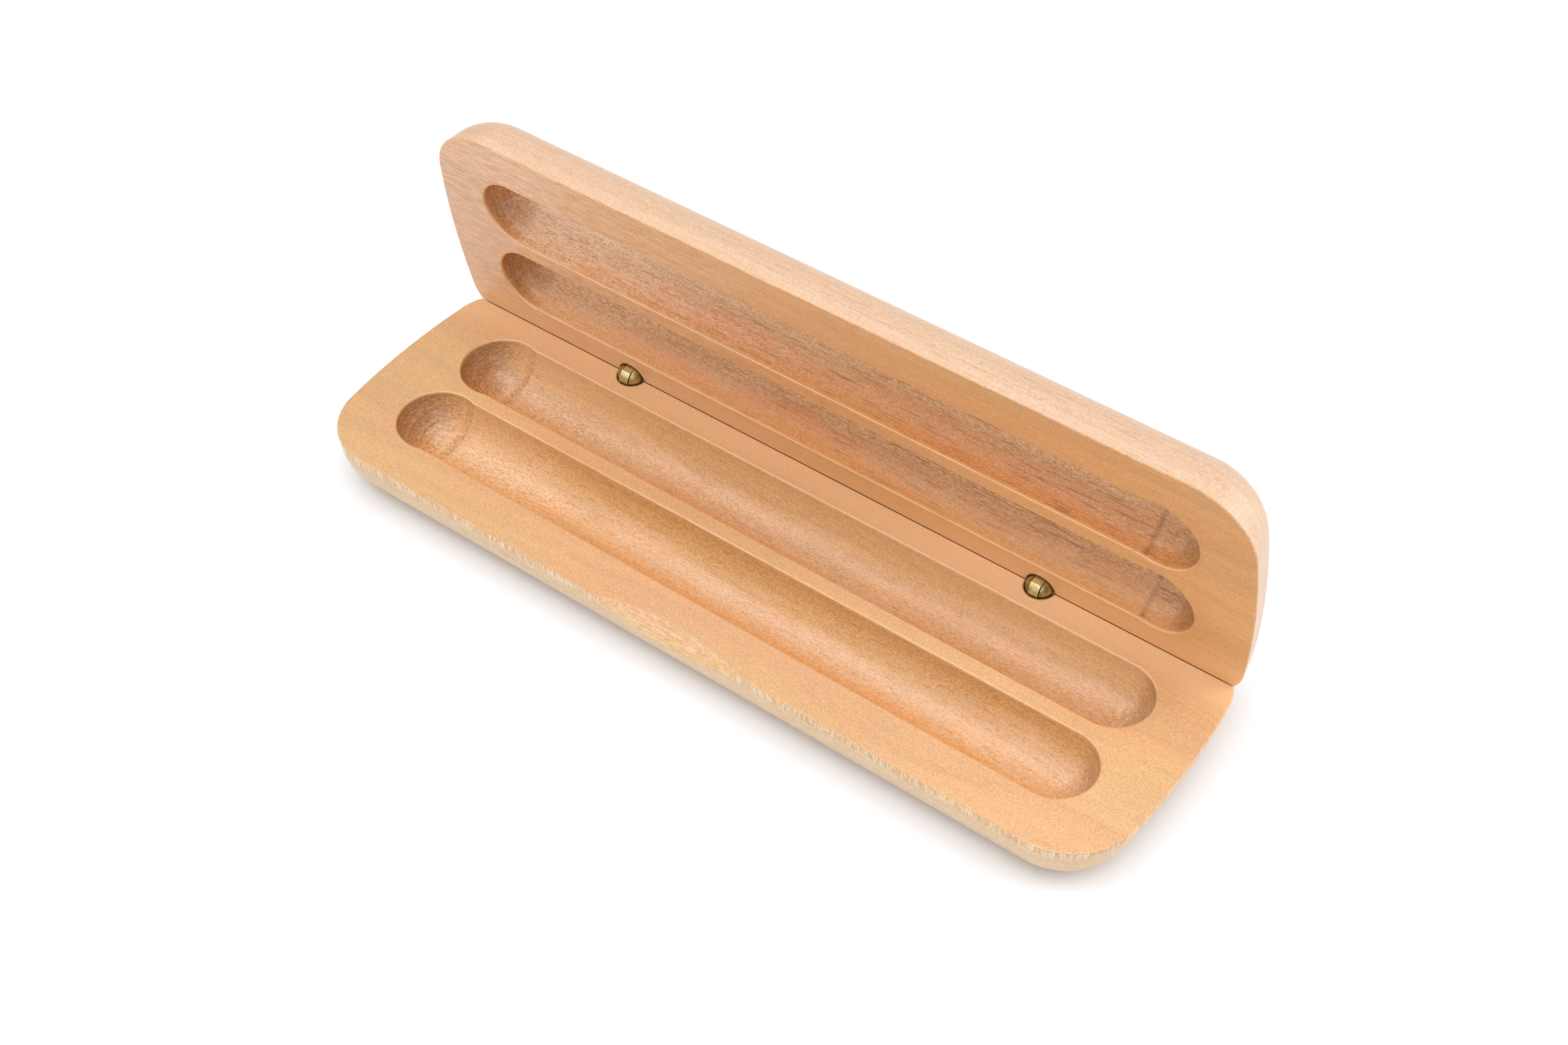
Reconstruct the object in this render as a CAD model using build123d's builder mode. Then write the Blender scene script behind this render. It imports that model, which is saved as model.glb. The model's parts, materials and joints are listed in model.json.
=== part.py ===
from build123d import *
import os
from math import cos, radians, sin

# Two-pen fountain pen case: a wooden base and lid on two brass barrel hinges.
#
# The case is drawn open, as it stands on a desk. +X runs along the length to the
# right, +Y to the hinge side, +Z up. The origin is the middle of the flat
# underside that the base rests on. All sizes are millimetres.
#
# Base and lid are the same milled shell, each drawn on its own seat plane: the
# plane's x axis is the hinge line, its z axis points out of the shell's inner
# face, and the shell's front edge lies at negative y. The lid is that shell
# turned over, so its seat plane's x axis points the other way.

os.makedirs("parts", exist_ok=True)

# Shell outline, seen square to the inner face
LENGTH = 175.0
FRONT_DEPTH = 47.5  # hinge line to front edge
BACK_DEPTH = 5.0  # hinge line to back edge
END_BOW_RADIUS = 150.0
END_BOW_CENTRE_Y = -20.5  # the ends bulge most here
END_DRAFT = 11.0  # degrees that the ends lean in towards the outer face
FRONT_CORNER_RADIUS = 13.0
BACK_CORNER_RADIUS = 10.0

# Shell section
THICKNESS = 11.6
OUTER_ROUND = 9.4  # bullnose round the outer face
EDGE_BREAK = 0.3  # sanded edge round the inner face and the groove rims
FACE_GAP = 0.1  # inner face to hinge axis
OPEN_ANGLE = 83.0  # between the inner faces when the back bevels meet
BEVEL_ANGLE = OPEN_ANGLE / 2

# Pen grooves: round-bottomed, with a slightly larger plunge pocket at one end
GROOVE_LENGTH = 153.0
GROOVE_RADIUS = 7.4
POCKET_RADIUS = 7.8
GROOVE_LINES_Y = (-12.9, -31.0)

# Thumb scoop in the middle of the base's front edge
SCOOP_LENGTH = 34.0
SCOOP_SINK = 2.05  # square to its 45 degree slope

# Barrel hinges
HINGE_X = 46.4
HOLE_RADIUS = 2.9
HOLE_DEPTH = 6.6  # below the hinge axis
BARREL_RADIUS = 2.85
BARREL_DEPTH = 6.4
RIB_PITCH = 1.1
RIB_SINK = 0.25
RIB_COUNT = 3
KNUCKLE_RADIUS = 2.65
SHOULDER_DEPTH = 3.05  # where the barrel's full width starts
TONGUE_WIDTH = 2.0
TONGUE_RADIUS = 2.6
TONGUE_HEIGHT = 4.6  # between its two flats
SLOT_WIDTH = 2.3
PIN_RADIUS = 0.6
PIN_LENGTH = 5.0
PIN_SEAT_RADIUS = 0.61  # in the fork cheeks
PIN_BORE_RADIUS = 0.64  # in the tongue, which turns on it

# The hinge axis and the two seat planes
AXIS_Y = (FRONT_DEPTH - BACK_DEPTH) / 2
AXIS_Z = THICKNESS + FACE_GAP
HINGE_ORIGIN = Vector(0, AXIS_Y, AXIS_Z)
LID_FACE_NORMAL = Vector(0, -sin(radians(OPEN_ANGLE)), -cos(radians(OPEN_ANGLE)))
BASE_SEAT = Plane(HINGE_ORIGIN, x_dir=(1, 0, 0), z_dir=(0, 0, 1))
LID_SEAT = Plane(HINGE_ORIGIN, x_dir=(-1, 0, 0), z_dir=LID_FACE_NORMAL)


def on_seat(seat, x, y, z, z_dir=(0, 0, 1)):
    """A plane at (x, y, z) in the seat's own axes, facing along z_dir in those axes."""
    centre = seat.from_local_coords(Vector(x, y, z))
    normal = seat.from_local_coords(Vector(z_dir)) - seat.origin
    return Plane(centre, x_dir=seat.x_dir, z_dir=normal)


def across_seat(seat, x, y=0, z=0):
    """A plane at (x, y, z) in the seat's own axes, square to the hinge line."""
    return Plane(seat.from_local_coords(Vector(x, y, z)), x_dir=seat.y_dir, z_dir=seat.x_dir)


def stands_on(edge, plane):
    """True for an edge that runs more square to the plane than along it."""
    return abs(edge.tangent_at(0.5).dot(plane.z_dir)) > cos(radians(45))


def groove_cutter(seat, centre_y):
    """A ball-nosed milling cut along x, with its plunge pocket at negative x."""
    pocket_x = POCKET_RADIUS - GROOVE_LENGTH / 2
    far_x = GROOVE_LENGTH / 2 - GROOVE_RADIUS
    with BuildPart() as cutter:
        with BuildSketch(across_seat(seat, pocket_x, centre_y, -FACE_GAP)):
            Circle(GROOVE_RADIUS)
        extrude(amount=far_x - pocket_x)
        with Locations(on_seat(seat, pocket_x, centre_y, -FACE_GAP)):
            Sphere(POCKET_RADIUS)
        with Locations(on_seat(seat, far_x, centre_y, -FACE_GAP)):
            Sphere(GROOVE_RADIUS)
    return cutter.part


def milled_shell(seat):
    """One half of the case: bowed outline, bullnose, two grooves, back bevel, hinge holes."""
    outward = Axis(seat.origin, seat.z_dir)
    to_back = Axis(seat.origin, seat.y_dir)
    inner_face = on_seat(seat, 0, 0, -FACE_GAP)
    bevel_normal = (0, sin(radians(BEVEL_ANGLE)), cos(radians(BEVEL_ANGLE)))
    with BuildPart() as shell:
        # Blank: a board with bowed, leaning ends and round corners, bullnosed outside
        with BuildSketch(inner_face):
            with Locations((0, (BACK_DEPTH - FRONT_DEPTH) / 2)):
                Rectangle(LENGTH, FRONT_DEPTH + BACK_DEPTH)
        extrude(amount=-THICKNESS)
        for bow_x in (LENGTH / 2 - END_BOW_RADIUS, END_BOW_RADIUS - LENGTH / 2):
            with BuildSketch(inner_face):
                with Locations((bow_x, END_BOW_CENTRE_Y)):
                    Circle(END_BOW_RADIUS)
            extrude(amount=-THICKNESS, taper=END_DRAFT, mode=Mode.INTERSECT)
        for radius, end in ((FRONT_CORNER_RADIUS, 0), (BACK_CORNER_RADIUS, -1)):
            corners = edges().filter_by(lambda edge: stands_on(edge, inner_face))
            fillet(corners.group_by(to_back)[end], radius)
        fillet(faces().sort_by(outward)[0].edges(), OUTER_ROUND)
        fillet(faces().sort_by(outward)[-1].edges(), EDGE_BREAK)

        # Pen grooves with sanded rims
        for centre_y in GROOVE_LINES_Y:
            add(groove_cutter(seat, centre_y), mode=Mode.SUBTRACT)
        fillet(faces().sort_by(outward)[-1].inner_wires().edges(), EDGE_BREAK)

        # Back bevel that lets the lid open and then stops it
        bevel = on_seat(seat, 0, 0, 0, z_dir=bevel_normal).offset(-FACE_GAP)
        split(bisect_by=bevel, keep=Keep.BOTTOM)

        # Blind holes for the two barrels, half of each breaking out through the bevel
        for hinge_x in (-HINGE_X, HINGE_X):
            with BuildSketch(on_seat(seat, hinge_x, 0, -HOLE_DEPTH)):
                Circle(HOLE_RADIUS)
            extrude(amount=HOLE_DEPTH, mode=Mode.SUBTRACT)
    return shell.part


def glue_ribs(seat, hinge_x):
    """The shallow turned grooves that leave glue ribs round a barrel's buried end."""
    with BuildPart() as grooves:
        for rib in range(RIB_COUNT):
            groove_z = -BARREL_DEPTH + RIB_PITCH * (rib + 0.5)
            with BuildSketch(on_seat(seat, hinge_x, 0, groove_z)):
                Circle(BARREL_RADIUS + RIB_SINK)
                Circle(BARREL_RADIUS - RIB_SINK, mode=Mode.SUBTRACT)
            extrude(amount=RIB_PITCH / 4, both=True)
    return grooves.part


def lower_barrel(hinge_x):
    """Barrel in the base: a domed knuckle slotted into two cheeks that carry the pin."""
    seat = BASE_SEAT
    with BuildPart() as barrel:
        with BuildSketch(on_seat(seat, hinge_x, 0, -BARREL_DEPTH)):
            Circle(BARREL_RADIUS)
        extrude(amount=BARREL_DEPTH - SHOULDER_DEPTH)
        with BuildSketch(on_seat(seat, hinge_x, 0, -SHOULDER_DEPTH)):
            Circle(KNUCKLE_RADIUS)
        extrude(amount=SHOULDER_DEPTH)
        with Locations(on_seat(seat, hinge_x, 0, 0)):
            Sphere(KNUCKLE_RADIUS)
        add(glue_ribs(seat, hinge_x), mode=Mode.SUBTRACT)
        with BuildSketch(on_seat(seat, hinge_x, 0, -SHOULDER_DEPTH)):
            Rectangle(SLOT_WIDTH, 2 * BARREL_RADIUS)
        extrude(amount=2 * SHOULDER_DEPTH, mode=Mode.SUBTRACT)
        with BuildSketch(across_seat(seat, hinge_x)):
            Circle(PIN_SEAT_RADIUS)
        extrude(amount=BARREL_RADIUS, both=True, mode=Mode.SUBTRACT)
    return barrel.part


def upper_barrel(hinge_x):
    """Barrel in the lid: a cylinder milled to a flat, round-ended tongue that holds the pin."""
    seat = LID_SEAT
    with BuildPart() as barrel:
        with BuildSketch(on_seat(seat, hinge_x, 0, -BARREL_DEPTH)):
            Circle(BARREL_RADIUS)
        extrude(amount=BARREL_DEPTH - SHOULDER_DEPTH)
        add(glue_ribs(seat, hinge_x), mode=Mode.SUBTRACT)
        with BuildSketch(across_seat(seat, hinge_x)):
            Circle(TONGUE_RADIUS)
            Rectangle(TONGUE_HEIGHT, 2 * SHOULDER_DEPTH, mode=Mode.INTERSECT)
            with Locations((0, -SHOULDER_DEPTH / 2)):
                Rectangle(TONGUE_HEIGHT, SHOULDER_DEPTH)
            Circle(PIN_BORE_RADIUS, mode=Mode.SUBTRACT)
        extrude(amount=TONGUE_WIDTH / 2, both=True)
    return barrel.part


def pivot_pin(hinge_x):
    """The pin through both cheeks and the tongue, with broken edges."""
    with BuildPart() as pin:
        with BuildSketch(across_seat(BASE_SEAT, hinge_x)):
            Circle(PIN_RADIUS)
        extrude(amount=PIN_LENGTH / 2, both=True)
        chamfer(edges().filter_by(GeomType.CIRCLE), PIN_RADIUS / 5)
    return pin.part


# Base, with the thumb scoop ground across its front edge by a wide drum
scoop_drum_radius = (SCOOP_LENGTH**2 / 4 + SCOOP_SINK**2) / (2 * SCOOP_SINK)
with BuildPart() as base:
    add(milled_shell(BASE_SEAT))
    with BuildSketch(on_seat(BASE_SEAT, 0, -FRONT_DEPTH, -FACE_GAP, z_dir=(0, -1, -1))):
        with Locations((0, scoop_drum_radius - SCOOP_SINK)):
            Circle(scoop_drum_radius)
    extrude(amount=2 * THICKNESS, both=True, mode=Mode.SUBTRACT)
base.part.label = "base"

with BuildPart() as lid:
    add(milled_shell(LID_SEAT))
lid.part.label = "lid"

for piece in (base, lid):
    export_step(piece.part, f"parts/{piece.part.label}.step")

# The lid's seat plane runs the other way along the hinge line, so its x is reversed
for side, hinge_x in (("left", -HINGE_X), ("right", HINGE_X)):
    hinge_pieces = {
        "hinge_lower_barrel": lower_barrel(hinge_x),
        "hinge_upper_barrel": upper_barrel(-hinge_x),
        "hinge_pin": pivot_pin(hinge_x),
    }
    for name, piece in hinge_pieces.items():
        piece.label = f"{side}_{name}"
        export_step(piece, f"parts/{piece.label}.step")
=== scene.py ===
import json
from math import cos, radians, sin

import bpy
from mathutils import Matrix, Vector


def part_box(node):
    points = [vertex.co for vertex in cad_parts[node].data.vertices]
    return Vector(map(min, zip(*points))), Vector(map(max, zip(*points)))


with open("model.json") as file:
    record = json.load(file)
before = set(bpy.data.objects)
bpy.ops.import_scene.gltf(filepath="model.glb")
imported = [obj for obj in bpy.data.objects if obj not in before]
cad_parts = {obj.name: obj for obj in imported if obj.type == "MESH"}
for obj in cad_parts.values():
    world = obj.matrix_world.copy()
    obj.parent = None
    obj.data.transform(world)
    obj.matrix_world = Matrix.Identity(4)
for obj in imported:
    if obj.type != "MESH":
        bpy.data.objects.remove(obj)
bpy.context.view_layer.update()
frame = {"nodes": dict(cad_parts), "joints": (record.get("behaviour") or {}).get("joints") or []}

MM = 0.001

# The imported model's own numbers: where the hinge line and the inner faces lie
lid_hinge = frame["joints"][0]
HINGE_LINE = Vector(lid_hinge["pos_m"])
OPEN_ANGLE = radians(lid_hinge["range_deg"][1])
FACE_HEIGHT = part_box("base")[1].z

# The rectangle round the two grooves, and the step at the pockets, in mm from the
# middle of the hinge line
GROOVES_HALF_LENGTH = 76.5
GROOVES_HALF_WIDTH = 16.5
GROOVES_MIDDLE = 22.0
POCKET_STEP = 66.3

# The ridge's two sides across the board: what differs from groove to groove changes there
RIDGE_FRONT, RIDGE_BACK = -26.0, -18.0

# In mm under the inner face: the grooves end above this, and the outer skin lies below
UNDER_GROOVES = (9.0, 10.0)

# The barrels' distance each side of the middle, and where the painted shade round their holes fades
BARREL_SPREAD = 46.4
HOLE_SHADE = (2.95, 3.25)

# The dark seam's middle, in mm from the hinge line, and where it fades on each side; the seam is partly
# dark wood and partly painted shade
SEAM_LINE = 4.5
SEAM_FADE = (0.5, 4.5)

# How high the bumps on the wood and on the brass are, in metres
WOOD_RELIEF = 0.035 * MM
BRASS_RELIEF = 0.02 * MM


# ---------------------------------------------------------------- node helpers


class Shader:
    """One node material, with short calls for the nodes that it needs."""

    def __init__(self, name):
        self.material = bpy.data.materials.new(name)
        self.material.use_nodes = True
        self.tree = self.material.node_tree
        self.surface = self.tree.nodes["Principled BSDF"]

    def node(self, kind, sockets, **settings):
        """Adds a node, sets its settings, and feeds its sockets with links or constants."""
        made = self.tree.nodes.new("ShaderNode" + kind)
        for key, value in settings.items():
            setattr(made, key, value)
        for socket, value in sockets.items():
            self.feed(made.inputs[socket], value)
        return made

    def feed(self, socket, value):
        if isinstance(value, bpy.types.NodeSocket):
            self.tree.links.new(value, socket)
        else:
            socket.default_value = value

    def place(self, turn, origin):
        """Coordinates in mm from origin, turned about X so that z is the depth of a board."""
        coordinates = self.node("TexCoord", {}).outputs["Object"]
        from_origin = self.node("VectorMath", {0: coordinates, 1: origin}, operation="SUBTRACT")
        turned = self.node(
            "Mapping",
            {"Vector": from_origin.outputs[0], "Rotation": (turn, 0, 0), "Scale": (1 / MM,) * 3},
        )
        return turned.outputs[0]

    def facing(self, turn):
        """The surface normal in the same axes as place()."""
        normal = self.node("TexCoord", {}).outputs["Normal"]
        turned = self.node("Mapping", {"Vector": normal, "Rotation": (turn, 0, 0)})
        return self.axes(turned.outputs[0])

    def axes(self, vector):
        return self.node("SeparateXYZ", {0: vector}).outputs

    def vector(self, x, y, z):
        return self.node("CombineXYZ", {0: x, 1: y, 2: z}).outputs[0]

    def stretch(self, vector, factors):
        return self.node("VectorMath", {0: vector, 1: factors}, operation="MULTIPLY").outputs[0]

    def sum(self, vector, offset):
        return self.node("VectorMath", {0: vector, 1: offset}, operation="ADD").outputs[0]

    def length(self, vector):
        return self.node("VectorMath", {0: vector}, operation="LENGTH").outputs["Value"]

    def off_barrels(self, along, across):
        """How far a place on the board lies from the nearer barrel's axis."""
        off_axis = self.math("SUBTRACT", self.math("ABSOLUTE", along), BARREL_SPREAD)
        return self.length(self.vector(off_axis, across, 0.0))

    def noise(self, vector, detail=2.0, roughness=0.5):
        sockets = {"Vector": vector, "Scale": 1.0, "Detail": detail, "Roughness": roughness}
        return self.node("TexNoise", sockets).outputs["Fac"]

    def math(self, operation, *values):
        return self.node("Math", dict(enumerate(values)), operation=operation).outputs[0]

    def product(self, first, *others):
        for other in others:
            first = self.math("MULTIPLY", first, other)
        return first

    def scaled_sum(self, value, factor, rest):
        """value times factor, plus rest."""
        return self.math("MULTIPLY_ADD", value, factor, rest)

    def span(self, value, start, end, low=0.0, high=1.0):
        """Smoothly carries value's stretch from start to end over to low to high."""
        sockets = {"Value": value, 1: start, 2: end, 3: low, 4: high}
        return self.node("MapRange", sockets, interpolation_type="SMOOTHSTEP").outputs[0]

    def mix(self, factor, one, other):
        made = self.node("Mix", {0: factor}, data_type="RGBA")
        self.feed(made.inputs[6], one)
        self.feed(made.inputs[7], other)
        return made.outputs[2]

    def bump(self, height, distance, strength):
        sockets = {"Height": height, "Distance": distance, "Strength": strength}
        return self.node("Bump", sockets).outputs[0]

    def finish(self, **sockets):
        for name, value in sockets.items():
            self.feed(self.surface.inputs[name.replace("_", " ")], value)
        return self.material


# ------------------------------------------------------------------------ wood


class Wood(Shader):
    """Close-grained hardwood cut from one board: growth layers, fibres, pores, end grain.

    turn levels the board's axes with the shell. side is 1 where the inner face looks
    along the board's z, and -1 where it looks against it. seed is where in the tree the
    board comes from, and tones are its colours by name.

    Everything is worked out in three dimensions, so the figure runs on from the flat face
    down into the grooves and round the bullnose, as it does in solid wood. Each paint_
    method lays one feature over the colour that the methods before it left.
    """

    def __init__(self, name, turn, side, seed, tones):
        super().__init__(name)
        self.side = side
        self.tones = tones
        self.colour = None
        self.board = self.place(turn, HINGE_LINE)
        self.grown = self.sum(self.board, seed)
        self.along, self.across, into = self.axes(self.board)
        self.depth = self.math("ABSOLUTE", into)
        self.normal = self.facing(turn)
        self.inward = self.math("MULTIPLY", self.normal[2], side)
        self.end_on = self.math("ABSOLUTE", self.normal[0])
        self.grow_noise()
        self.find_places()

    def field(self, along, across, detail=2.0, roughness=0.5):
        """Noise that has so many features a mm along the grain and across it."""
        return self.noise(self.stretch(self.grown, (along, across, across)), detail, roughness)

    def paint(self, tone, *factors):
        """Lays a tone over the colour, as strongly as the factors' product says."""
        self.colour = self.mix(self.product(*factors), self.colour, self.tones[tone])

    def by_end(self, left, right):
        """One value on the left half of the board, and another on the right half."""
        return self.span(self.along, -10.0, 10.0, left, right)

    def grow_noise(self):
        """The noise fields, from the widest to the finest."""
        self.tone = self.field(0.012, 0.09, 3.0)
        self.wander = self.field(0.009, 0.045)
        self.waver = self.field(0.05, 0.30)
        self.blotch = self.field(0.16, 0.45, 4.0, 0.7)
        self.fibre = self.field(0.30, 3.4, 3.0, 0.55)
        self.dash_field = self.field(0.30, 3.4, 1.0)
        self.streak_field = self.field(0.12, 3.3)
        self.fleck_field = self.field(2.0, 4.6, 1.0)
        self.grain = self.field(2.2, 8.0, 1.0)
        self.nap = self.field(1.1, 7.0, 2.0, 0.6)
        self.torn = self.field(0.45, 3.2, 4.0, 0.7)
        self.chatter = self.noise(self.stretch(self.board, (1.4, 1.4, 6.0)))
        self.tick_field = self.noise(self.stretch(self.board, (1.9, 1.2, 0.35)))
        self.flecks = self.span(self.fleck_field, 0.50, 0.66)
        self.find_layers()

    def find_layers(self):
        """Growth layers lie nearly flat in the board, so they ring the groove walls."""
        layer = self.scaled_sum(self.across, 0.16, self.depth)
        layer = self.scaled_sum(self.wander, 4.5, layer)
        layer = self.scaled_sum(self.waver, 0.7, layer)
        along_layers = self.vector(self.product(self.along, 0.008), layer, 0.0)
        self.lines = self.noise(along_layers, 5.0, 0.62)
        along_fine_layers = self.vector(self.product(self.along, 0.02), self.product(layer, 2.6), 0.0)
        self.fine_lines = self.noise(along_fine_layers)

    def find_places(self):
        """Where on the shell: within the grooves' rectangle, in a groove, on the outer skin."""
        past_ends = self.math("SUBTRACT", self.math("ABSOLUTE", self.along), GROOVES_HALF_LENGTH)
        off_middle = self.math("ABSOLUTE", self.math("ADD", self.across, GROOVES_MIDDLE))
        past_sides = self.math("SUBTRACT", off_middle, GROOVES_HALF_WIDTH)
        outside = self.span(self.math("MAXIMUM", past_ends, past_sides), 0.2, 1.0)
        self.outside = self.math("MAXIMUM", outside, self.span(self.depth, *UNDER_GROOVES))
        self.within = self.math("SUBTRACT", 1.0, self.outside)
        self.in_groove = self.product(self.within, self.span(self.depth, 0.3, 0.9))
        self.off_groove = self.math("SUBTRACT", 1.0, self.in_groove)
        self.outer = self.product(self.outside, self.span(self.inward, 0.1, 0.6, 1.0, 0.0))
        self.not_outer = self.math("SUBTRACT", 1.0, self.outer)
        self.turned = self.product(self.in_groove, self.span(self.end_on, 0.02, 0.12))

    def find_wall_shading(self, far_start, far_end, far_right):
        """Painted light and shade on the grooves' walls, by which way they face: the wall by the hinge
        (far) and the wall by the front (near) get their own tones, which fade raggedly.

        far_start and far_end are where the far wall's colour ends, and far_right is how
        much of it is left at the right end.
        """
        ragged = self.scaled_sum(self.blotch, 0.5, self.product(self.fleck_field, 0.5))
        ragged = self.scaled_sum(self.waver, 1.0, ragged)
        tilt = self.math("SUBTRACT", self.math("ADD", self.normal[1], ragged), 1.0)
        self.far_wall_shading = self.product(
            self.in_groove,
            self.span(tilt, far_start, far_end, 1.0, 0.0),
            self.span(self.along, -10.0, 75.0, 1.0, far_right),
            self.span(self.along, -65.0, -30.0, 0.55, 1.0),
            self.span(self.tone, 0.38, 0.55, 0.65, 1.0),
        )
        self.near_wall_shading = self.product(
            self.in_groove,
            self.span(tilt, 0.0, 0.40, 0.0, 0.85),
            self.span(self.normal[1], 0.76, 0.46, 0.20, 1.0),
        )

    def paint_faces(self, seam):
        """The ground colours of the inner face, the ridge, and the grooves, with painted light and shade
        on the grooves' walls.
        """
        rosy = self.span(self.tone, 0.38, 0.64)
        self.colour = self.mix(rosy, self.tones["face"], self.tones["rosy"])
        self.paint("near", self.math("SUBTRACT", self.within, self.in_groove), 0.5 * seam)
        self.paint("bottom", self.in_groove)
        # Painted light and shade: tones for the far and the near wall, by which way each faces.
        self.paint("far", self.far_wall_shading)
        self.paint("near", self.near_wall_shading)

    def paint_ends(self, face_left, front_left, back_left):
        """Paler wood to the right of the middle, and another tone at the left end.

        The left end's strength is given for the face, the front groove, and the back
        groove.
        """
        past_right_pockets = 0.5 - 0.5 * self.side
        self.paint(
            "pale",
            self.off_groove,
            self.span(self.along, 0.0, 45.0, 0.0, 0.24),
            self.span(self.across, -36.0, -24.0),
            self.span(self.along, 50.0, 72.0, 1.3, past_right_pockets),
        )
        ragged_end = self.scaled_sum(self.blotch, 60.0, self.along)
        added_in_groove = self.span(
            self.across, RIDGE_FRONT, RIDGE_BACK, front_left - face_left, back_left - face_left
        )
        self.paint(
            "left",
            self.span(ragged_end, -40.0, 50.0, 1.0, 0.0),
            self.scaled_sum(self.in_groove, added_in_groove, face_left),
            self.span(self.fibre, 0.38, 0.60, 0.35, 1.6),
            self.span(self.end_on, 0.05, 0.40, 1.0, 0.25),
        )

    def paint_skin(self):
        """Growth layers on the groove walls, and the outer skin with its fibres."""
        self.paint("near", self.in_groove, self.span(self.lines, 0.50, 0.62, 0.0, 0.30))
        self.paint("skin", self.outer)
        self.paint("near", self.outer, self.span(self.fibre, 0.52, 0.68, 0.0, 0.28))
        self.paint("lift", self.outer, self.span(self.fibre, 0.46, 0.34, 0.0, 0.45))

    def paint_seam_and_shade(self, seam):
        """A darker seam along the grain, by the groove nearer the hinge: partly dark wood, partly painted
        shade under the groove's upper wall.
        """
        meander = self.scaled_sum(self.tone, 14.0, self.product(self.waver, 5.0))
        off_seam = self.math("ADD", self.math("ADD", self.across, SEAM_LINE), meander)
        self.seam_and_shade = self.product(
            self.span(self.math("ABSOLUTE", off_seam), *SEAM_FADE, seam, 0.0),
            self.span(self.fibre, 0.38, 0.60, 0.35, 1.0),
            self.span(self.along, -60.0, -15.0, 0.55, 1.0),
            self.in_groove,
        )
        self.paint("seam", self.seam_and_shade)

    def paint_grain(self, seam, face_grit, groove_grit):
        """Lighter and darker layers, fibres, and grain, then flecks, dashes, and streaks."""
        grit = self.product(
            self.math("SUBTRACT", self.grain, 0.5),
            self.span(self.in_groove, 0.0, 1.0, face_grit, groove_grit),
        )
        value = self.product(
            self.span(self.lines, 0.30, 0.70, 0.95, 1.05),
            self.span(self.fine_lines, 0.30, 0.70, 0.97, 1.03),
            self.span(self.fibre, 0.30, 0.70, 0.95, 1.04),
            self.math("ADD", grit, 1.0),
        )
        self.colour = self.node("HueSaturation", {"Value": value, "Color": self.colour}).outputs[0]

        fleck_depth = self.scaled_sum(self.in_groove, 0.17, 0.05)
        fleck_depth = self.scaled_sum(self.far_wall_shading, 0.42, fleck_depth)
        fleck_depth = self.scaled_sum(self.outer, 0.10, fleck_depth)
        self.paint("fleck", self.flecks, fleck_depth)
        dashes = self.span(self.dash_field, 0.60, 0.70)
        self.paint("fleck", dashes, self.scaled_sum(self.in_groove, 0.45, 0.18))
        self.streaks = self.product(
            self.span(self.streak_field, 0.57, 0.66, 0.0, seam),
            self.span(self.in_groove, 0.0, 1.0, 0.3, 1.0),
            self.span(self.along, -50.0, 10.0, 0.40, 1.0),
        )
        self.paint("umber", self.streaks)

    def paint_nap_and_sheen(self, sheen_haze):
        """Painted sheen: a pale haze on the groove walls where the cut runs along the grain, strongest
        near their bottoms; partly raised fibres, partly a painted reflection of the lights.
        """
        left_end_walls = self.product(self.span(self.end_on, 0.02, 0.12), self.by_end(0.85, 0.0))
        off_bottom = self.math("ABSOLUTE", self.math("ADD", self.normal[1], 0.15))
        by_front = self.math(
            "MAXIMUM",
            self.span(self.across, RIDGE_FRONT, RIDGE_BACK, 0.70, 1.0),
            self.span(self.along, -50.0, -15.0, 1.30, 0.0),
        )
        # Painted sheen: the pale haze stands in for the lights' reflection near the groove bottoms, over
        # raised fibres.
        self.paint(
            "dust_and_sheen",
            self.in_groove,
            self.span(self.nap, 0.42, 0.62, 0.0, sheen_haze),
            self.math("SUBTRACT", 1.0, left_end_walls),
            self.span(off_bottom, 0.15, 0.55, 1.3, 0.8),
            self.scaled_sum(self.far_wall_shading, -0.85, 1.0),
            self.scaled_sum(self.seam_and_shade, -0.8, 1.0),
            self.scaled_sum(self.streaks, -1.2, 1.0),
            by_front,
        )

    def paint_hinge_edge_light(self):
        """Painted light: paler along the hinge edge, standing in for light bounced between the lid and
        the base.
        """
        off_edge = self.math("ABSOLUTE", self.across)
        self.paint(
            "pale",
            self.span(off_edge, 2.0, 9.0, 0.45, 0.0),
            self.span(self.along, 0.0, 60.0, 1.0, 1.4),
        )

    def paint_pockets(self):
        """End grain in the pockets drinks the finish and darkens, with painted shade added on the end
        walls, most at the left end; the cutter leaves its marks.
        """
        # Darker end walls: real end grain with painted shade, stronger at the left end.
        self.paint(
            "umber",
            self.in_groove,
            self.span(self.end_on, 0.10, 0.85, 0.0, 0.56),
            self.span(self.fine_lines, 0.38, 0.62, 1.2, 0.65),
            self.by_end(1.0, 0.75),
        )
        marked = self.product(self.turned, self.by_end(1.0, 0.5))
        self.paint("umber", marked, self.span(self.chatter, 0.50, 0.64, 0.0, 0.35))
        self.paint("dust_and_sheen", marked, self.span(self.chatter, 0.48, 0.36, 0.0, 0.30))

    def paint_scoop(self):
        """The thumb scoop cuts across the grain and leaves torn fibres."""
        self.scooped = self.product(
            self.outside,
            self.span(self.normal[1], -0.08, -0.25, 0.0, 1.0),
            self.span(self.inward, 0.55, 0.75),
        )
        self.paint("dust_and_sheen", self.scooped, self.span(self.torn, 0.44, 0.64, 0.0, 0.45))
        self.paint("near", self.scooped, self.span(self.torn, 0.47, 0.36, 0.0, 0.40))

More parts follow.
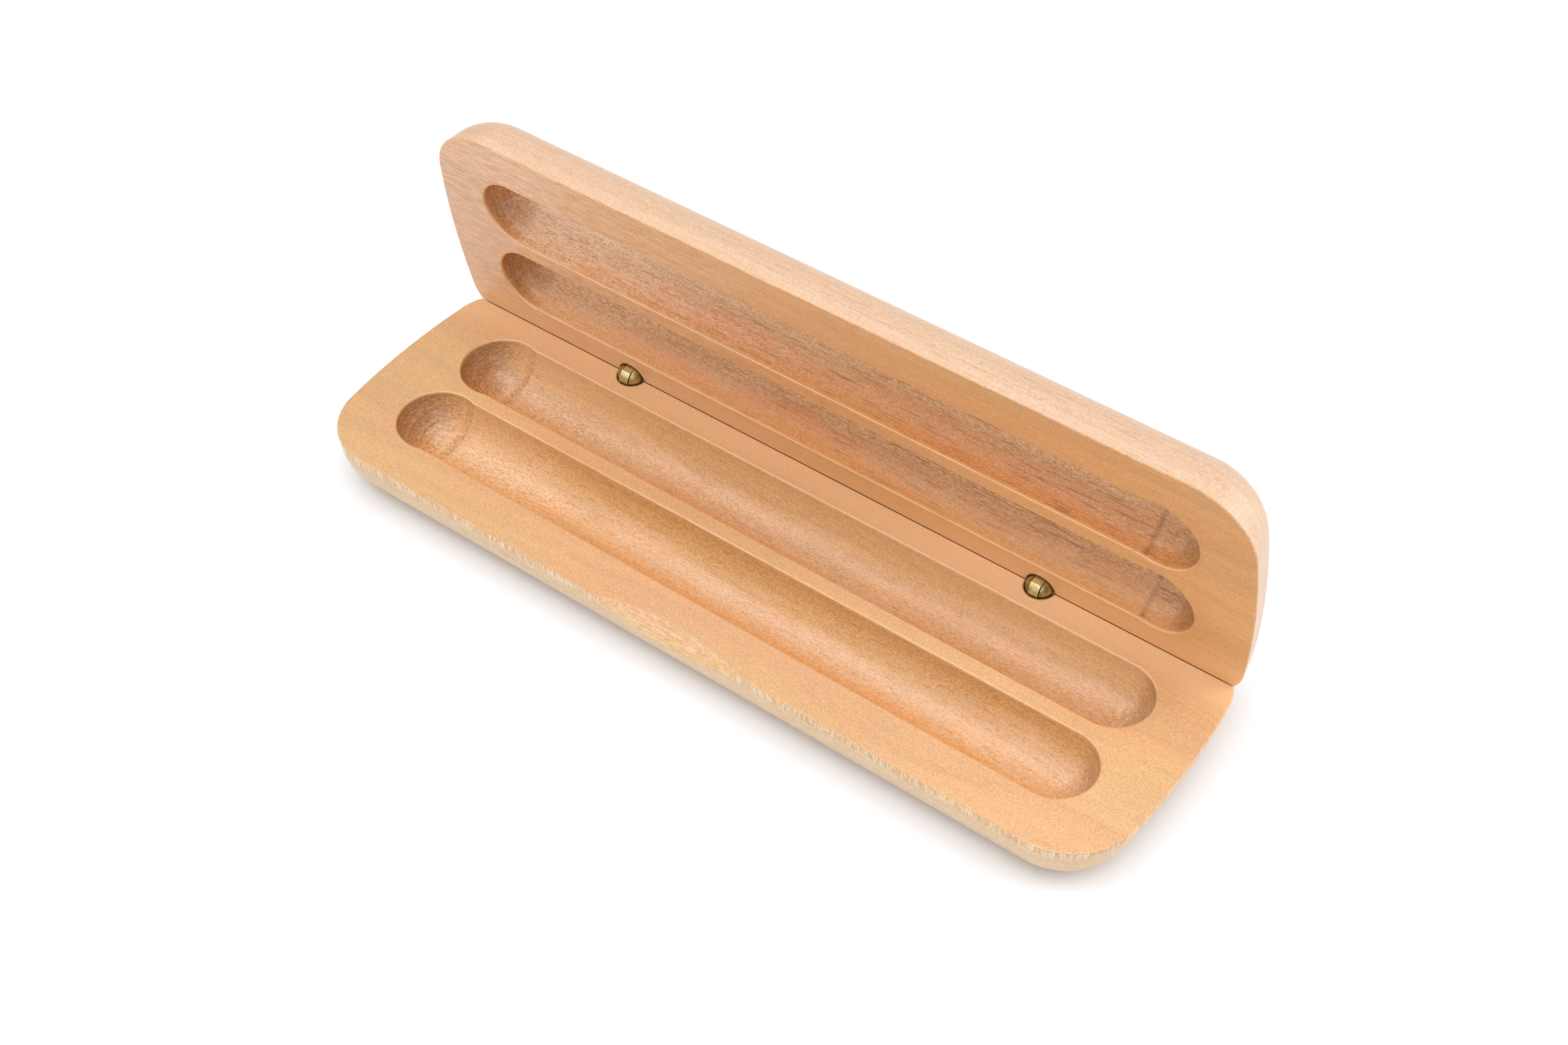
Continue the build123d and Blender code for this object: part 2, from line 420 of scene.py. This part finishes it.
    def paint_ticks(self):
        """Short ticks of torn fibre under the edge of the inner face."""
        under_edge = self.product(
            self.outside,
            self.span(self.depth, 0.12, 0.25),
            self.span(self.depth, 0.8, 2.6, 1.0, 0.0),
            self.span(self.inward, 0.75, 0.60),
            self.span(self.across, -14.0, -6.0, 1.0, 0.25),
        )
        self.paint("tick", under_edge, self.span(self.tick_field, 0.50, 0.58, 0.0, 0.65))
        self.paint("lift", under_edge, self.span(self.tick_field, 0.48, 0.40, 0.0, 0.40))

    def paint_step(self, seam):
        """Finish caught at the step where the pocket is a little deeper than the groove."""
        off_step = self.math("SUBTRACT", self.product(self.along, -self.side), POCKET_STEP)
        self.paint(
            "umber",
            self.span(self.math("ABSOLUTE", off_step), 0.1, 0.8, seam, 0.0),
            self.in_groove,
            self.span(self.blotch, 0.40, 0.62, 0.3, 1.0),
        )

    def paint_hole_shade(self):
        """Painted shade: dark edges round the barrels' holes, where the gap round each barrel lies in
        shadow.
        """
        off_hole = self.off_barrels(self.along, self.across)
        self.paint("umber", self.span(off_hole, *HOLE_SHADE, 0.80, 0.0), self.not_outer)

    def paint_rim_highlights(self):
        """Painted highlights on the rims round the grooves: a little paler, in patches, most where the
        rims face the front.
        """
        level = self.math("ABSOLUTE", self.normal[2])
        self.paint(
            "pale",
            self.span(self.depth, 0.15, 0.55, 1.0, 0.0),
            self.span(level, 0.75, 0.99, 1.0, 0.0),
            self.within,
            self.span(self.normal[1], -0.6, 0.2, 1.0, 0.15),
            self.span(self.blotch, 0.30, 0.60, 0.25, 0.75),
        )

    def surfaced(self):
        """The finished material, with the relief and the sheen of each place."""
        relief = self.scaled_sum(self.flecks, -0.4, self.grain)
        relief = self.scaled_sum(self.fibre, self.scaled_sum(self.in_groove, 0.7, 0.3), relief)
        relief = self.scaled_sum(self.product(self.scooped, self.torn), 2.0, relief)
        roughness = self.span(self.grain, 0.3, 0.7, 0.33, 0.45)
        roughness = self.scaled_sum(self.in_groove, -0.07, roughness)
        roughness = self.scaled_sum(self.turned, -0.12, roughness)
        return self.finish(
            Base_Color=self.colour,
            Roughness=roughness,
            Specular_IOR_Level=0.55,
            Normal=self.bump(relief, WOOD_RELIEF, self.scaled_sum(self.turned, -0.45, 0.7)),
        )


def shell_wood(name, turn, side, seed, tones, far_zone, seam, sheen_haze, left, gritty):
    """One shell's wood, which is Wood with the shell's own figure.

    far_zone, left, and gritty are the numbers of the walls' painted light and shade, of paint_ends, and
    of paint_grain.
    seam is how dark the seam, which is partly painted shade, and the streaks are, and haze is how strong
    the nap's pale haze and painted sheen are.
    """
    shell = Wood(name, turn, side, seed, tones)
    shell.find_wall_shading(*far_zone)
    shell.paint_faces(seam)
    shell.paint_ends(*left)
    shell.paint_skin()
    shell.paint_seam_and_shade(seam)
    shell.paint_grain(seam, *gritty)
    shell.paint_nap_and_sheen(sheen_haze)
    shell.paint_hinge_edge_light()
    shell.paint_pockets()
    shell.paint_scoop()
    shell.paint_ticks()
    shell.paint_step(seam)
    shell.paint_hole_shade()
    shell.paint_rim_highlights()
    return shell.surfaced()


# ----------------------------------------------------------------------- brass


RING_TARNISH = (0.35, 0.28, 0.10, 1)


def brass(name, bright, dull):
    """Turned brass: tool rings round each barrel, and tarnish in clouds."""
    shader = Shader(name)
    place = shader.place(0.0, HINGE_LINE)
    along, across, _ = shader.axes(place)
    ring = shader.product(shader.off_barrels(along, across), 7.0)
    rings = shader.noise(shader.vector(ring, 0.0, 0.0))
    cloud = shader.noise(shader.stretch(place, (0.6, 0.6, 0.6)), detail=5.0, roughness=0.65)
    colour = shader.mix(shader.span(cloud, 0.42, 0.75), bright, dull)
    colour = shader.mix(shader.span(rings, 0.48, 0.62, 0.0, 0.35), colour, RING_TARNISH)
    return shader.finish(
        Base_Color=colour,
        Roughness=shader.span(cloud, 0.3, 0.7, 0.26, 0.42),
        Metallic=1.0,
        Normal=shader.bump(rings, BRASS_RELIEF, 0.5),
    )


# ------------------------------------------------------------ dress the pieces


def wear(node, material):
    """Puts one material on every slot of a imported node."""
    mesh = frame["nodes"][node].data
    mesh.materials.clear()
    mesh.materials.append(material)


# Some tones carry painted light and shade: the far wall's tone, the pale haze of the nap, the pale tone
# on the hinge edge and the rims, and partly the seam's tone.
BASE_TONES = {
    "face": (0.640, 0.390, 0.185, 1),
    "rosy": (0.650, 0.360, 0.180, 1),
    "bottom": (0.66, 0.375, 0.18, 1),
    "far": (0.575, 0.335, 0.135, 1),
    "near": (0.71, 0.31, 0.085, 1),
    "left": (0.62, 0.32, 0.10, 1),
    "skin": (0.66, 0.47, 0.28, 1),
    "pale": (0.90, 0.56, 0.31, 1),
    "fleck": (0.50, 0.16, 0.03, 1),
    "dust_and_sheen": (0.89, 0.66, 0.48, 1),
    "seam": (0.40, 0.19, 0.08, 1),
    "umber": (0.26, 0.11, 0.04, 1),
    "tick": (0.56, 0.29, 0.10, 1),
    "lift": (0.90, 0.73, 0.53, 1),
}
LID_TONES = {
    "face": (0.608, 0.303, 0.118, 1),
    "rosy": (0.598, 0.313, 0.136, 1),
    "bottom": (0.56, 0.265, 0.090, 1),
    "far": (0.69, 0.265, 0.07, 1),
    "near": (0.60, 0.27, 0.09, 1),
    "left": (0.80, 0.56, 0.40, 1),
    "skin": (0.665, 0.452, 0.305, 1),
    "pale": (0.87, 0.50, 0.23, 1),
    "fleck": (0.44, 0.14, 0.03, 1),
    "dust_and_sheen": (0.89, 0.62, 0.39, 1),
    "seam": (0.36, 0.155, 0.052, 1),
    "umber": (0.31, 0.115, 0.035, 1),
    "tick": (0.655, 0.425, 0.26, 1),
    "lift": (0.75, 0.53, 0.38, 1),
}
wear(
    "base",
    shell_wood(
        "wood_base", 0.0, 1, (310, 45, 12), BASE_TONES,
        far_zone=(-0.80, -0.25, 1.0), seam=0.10, sheen_haze=0.40, left=(0.05, 0.38, 0.12), gritty=(0.95, 1.10),
    ),
)
wear(
    "lid",
    shell_wood(
        "wood_lid", OPEN_ANGLE, -1, (120, 80, 55), LID_TONES,
        far_zone=(-1.00, -0.50, 0.90), seam=0.70, sheen_haze=0.66, left=(0.34, 0.62, 0.12), gritty=(0.80, 1.20),
    ),
)
# Painted light and shade: a lighter copy of the brass on the upper barrels and a darker copy on the lower
# barrels.
shaded_brass = brass("brass_shaded", (0.54, 0.44, 0.18, 1), (0.22, 0.17, 0.05, 1))
lit_brass = brass("brass_lit", (0.82, 0.72, 0.37, 1), (0.44, 0.36, 0.14, 1))
for node in frame["nodes"]:
    if "hinge" in node:
        wear(node, lit_brass if "upper" in node else shaded_brass)


# ------------------------------------------------------------------------ stage


FLOOR_REACH = 8.0
FLOOR_PAPER = (0.885, 0.91, 0.95, 1)
WHITE = (1, 1, 1, 1)

# Each light's name, place, size, and watts
SOFTBOXES = (
    ("overhead", (0.0, 0.0, 1.0), 1.1, 8.7),
    ("over_front", (0.0, -0.6, 0.9), 0.9, 2.0),
    ("over_left", (-0.7, -0.1, 0.8), 0.8, 1.8),
    ("front_low", (0.0, -1.0, 0.35), 0.8, 1.6),
    ("front_left", (-0.8, -0.7, 0.6), 0.8, 1.9),
    ("front_right", (0.8, -0.7, 0.6), 0.8, 2.3),
    ("back_right", (0.9, 0.7, 0.5), 0.8, 8.5),
)
LIGHTS_AIM = (0, 0, 0.01)
WORLD_STRENGTH = 0.20


def paper_floor():
    """A broad sheet of pale paper, which glows far from the case as a lit backdrop does."""
    mesh = bpy.data.meshes.new("floor")
    reach = FLOOR_REACH
    corners = [(-reach, -reach, 0), (reach, -reach, 0), (reach, reach, 0), (-reach, reach, 0)]
    mesh.from_pydata(corners, [], [(0, 1, 2, 3)])
    floor = bpy.data.objects.new("floor", mesh)
    bpy.context.scene.collection.objects.link(floor)
    shader = Shader("paper_floor")
    away = shader.length(shader.node("TexCoord", {}).outputs["Object"])
    paper = shader.finish(
        Base_Color=FLOOR_PAPER,
        Roughness=0.9,
        Emission_Color=WHITE,
        Emission_Strength=shader.span(away, 0.6, 1.3, 0.0, 0.85),
    )
    mesh.materials.append(paper)


def softbox(name, place, size, watts):
    """A square area light at place, turned to face the case."""
    light = bpy.data.lights.new(name, "AREA")
    light.shape = "SQUARE"
    light.size = size
    light.energy = watts
    lamp = bpy.data.objects.new(name, light)
    lamp.location = place
    lamp.rotation_euler = (Vector(LIGHTS_AIM) - Vector(place)).to_track_quat("-Z", "Y").to_euler()
    bpy.context.scene.collection.objects.link(lamp)


def studio():
    paper_floor()
    for light in SOFTBOXES:
        softbox(*light)
    world = bpy.data.worlds.new("white_studio")
    bpy.context.scene.world = world
    world.use_nodes = True
    background = world.node_tree.nodes["Background"].inputs
    background["Color"].default_value = WHITE
    background["Strength"].default_value = WORLD_STRENGTH
    bpy.context.scene.view_settings.view_transform = "Standard"


# The camera's turn in degrees, its distance and aim in metres, and its lens in mm
CAMERA_YAW, CAMERA_PITCH, CAMERA_ROLL = -37.573, 47.045, -1.336
CAMERA_DISTANCE = 0.4208
CAMERA_AIM = Vector((0.0005, HINGE_LINE.y - 0.0139, FACE_HEIGHT))
CAMERA_LENS = 53.27
CAMERA_SENSOR = 36.0


def camera():
    """The camera looks down and to the left at the case from its right front corner."""
    yaw, pitch, roll = radians(CAMERA_YAW), radians(CAMERA_PITCH), radians(CAMERA_ROLL)
    look = Vector((sin(yaw) * cos(pitch), cos(yaw) * cos(pitch), -sin(pitch)))
    level = Vector((cos(yaw), -sin(yaw), 0))
    above = level.cross(look)
    right = cos(roll) * level + sin(roll) * above
    up = right.cross(look)
    data = bpy.data.cameras.new("camera")
    data.sensor_width = CAMERA_SENSOR
    data.lens = CAMERA_LENS
    data.clip_start = 0.01
    eye = bpy.data.objects.new("camera", data)
    turn = Matrix((right, up, -look)).transposed().to_4x4()
    eye.matrix_world = Matrix.Translation(CAMERA_AIM - CAMERA_DISTANCE * look) @ turn
    bpy.context.scene.collection.objects.link(eye)
    bpy.context.scene.camera = eye


studio()
camera()
